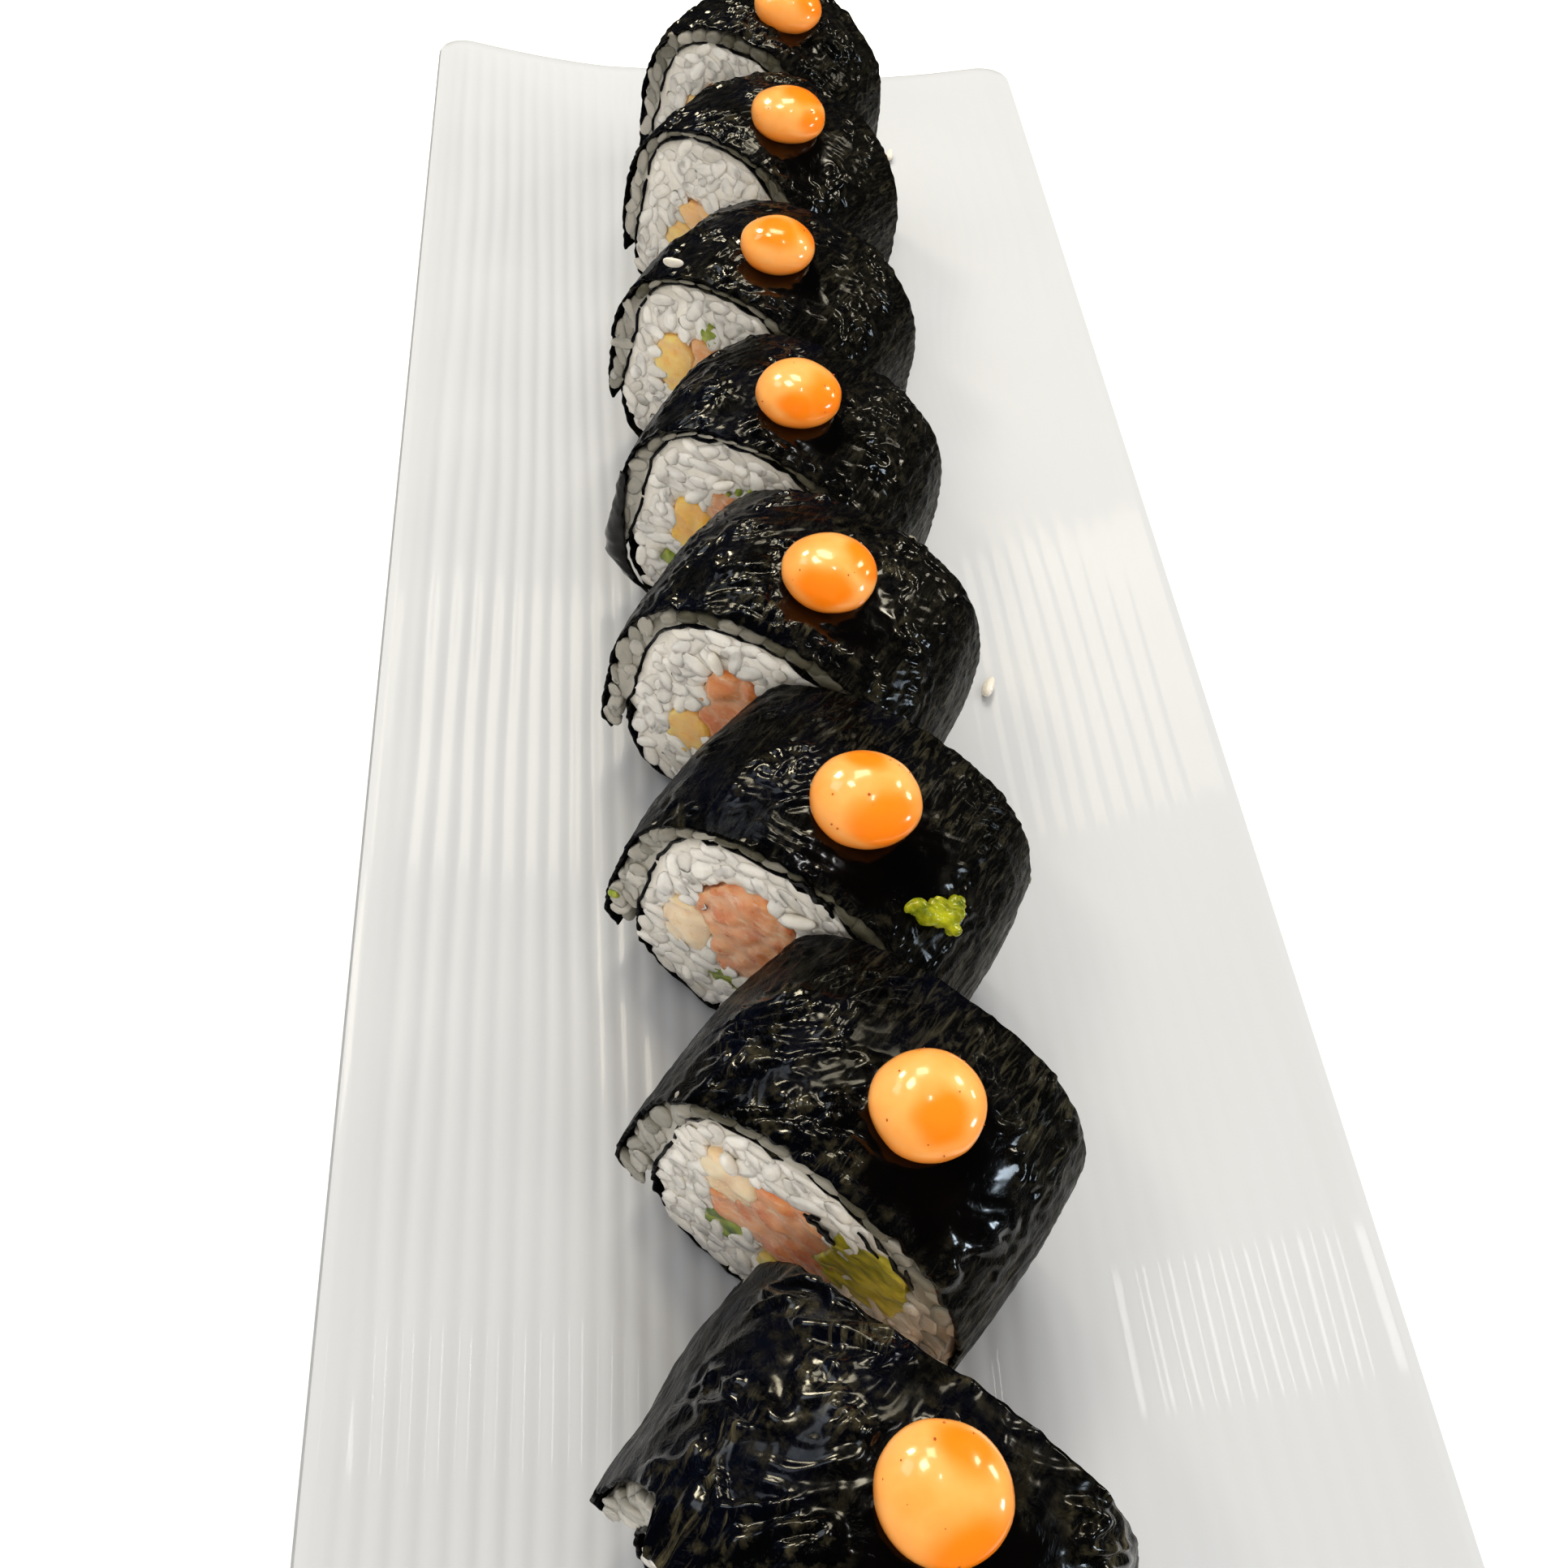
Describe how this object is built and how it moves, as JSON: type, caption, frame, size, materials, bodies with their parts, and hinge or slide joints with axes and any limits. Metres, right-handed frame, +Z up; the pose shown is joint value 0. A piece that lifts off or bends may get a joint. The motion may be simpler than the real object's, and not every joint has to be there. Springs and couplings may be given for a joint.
{
  "type": "sliced maki roll on a rectangular plate",
  "caption": "Thick seaweed-wrapped rice roll, sliced, with fish, cream and green fillings and a drop of orange sauce on each slice, in a staggered row on a long white plate.",
  "frame": {"origin": "on the table, under the middle of the plate", "axes": "+Z up; +Y along the plate, towards the far end of the row; +X to the right across the plate"},
  "size_m": [0.14, 0.4, 0.0632],
  "materials": {
    "porcelain": "white gloss glaze over fine wood-grain relief",
    "nori": "moist roasted seaweed, near black, crinkled, glossy on top and duller at the sides",
    "rice": "sticky cooked short-grain rice, translucent grey-white",
    "fish": "raw pink fish, moist",
    "cream": "pale cream to yellow filling, moist",
    "green": "moist green leaf and stem",
    "avocado": "ripe avocado, olive green",
    "paste": "orange paste, moist",
    "sauce": "thick glossy peach-orange sauce with orange streaks and fine specks"
  },
  "bodies": {
    "root": {"plate": "porcelain", "nori_1": "nori", "rice_1": "rice", "fish_1": "fish", "cream_1": "cream", "green_1": "green", "sauce_1": "sauce", "nori_2": "nori", "rice_2": "rice", "fish_2": "fish", "cream_2": "cream", "green_2": "green", "sauce_2": "sauce", "nori_3": "nori", "rice_3": "rice", "fish_3": "fish", "cream_3": "cream", "green_3": "green", "sauce_3": "sauce", "nori_4": "nori", "rice_4": "rice", "fish_4": "fish", "cream_4": "cream", "green_4": "green", "sauce_4": "sauce", "nori_5": "nori", "rice_5": "rice", "fish_5": "fish", "cream_5": "cream", "green_5": "green", "sauce_5": "sauce", "nori_6": "nori", "rice_6": "rice", "fish_6": "fish", "cream_6": "cream", "green_6": "green", "sauce_6": "sauce", "nori_7": "nori", "rice_7": "rice", "fish_7": "fish", "cream_7": "cream", "green_7": "green", "sauce_7": "sauce", "nori_8": "nori", "rice_8": "rice", "fish_8": "fish", "cream_8": "cream", "green_8": "green", "sauce_8": "sauce", "avocado_7": "avocado", "paste_7": "paste", "green_topping": "green"}
  },
  "joints": []
}
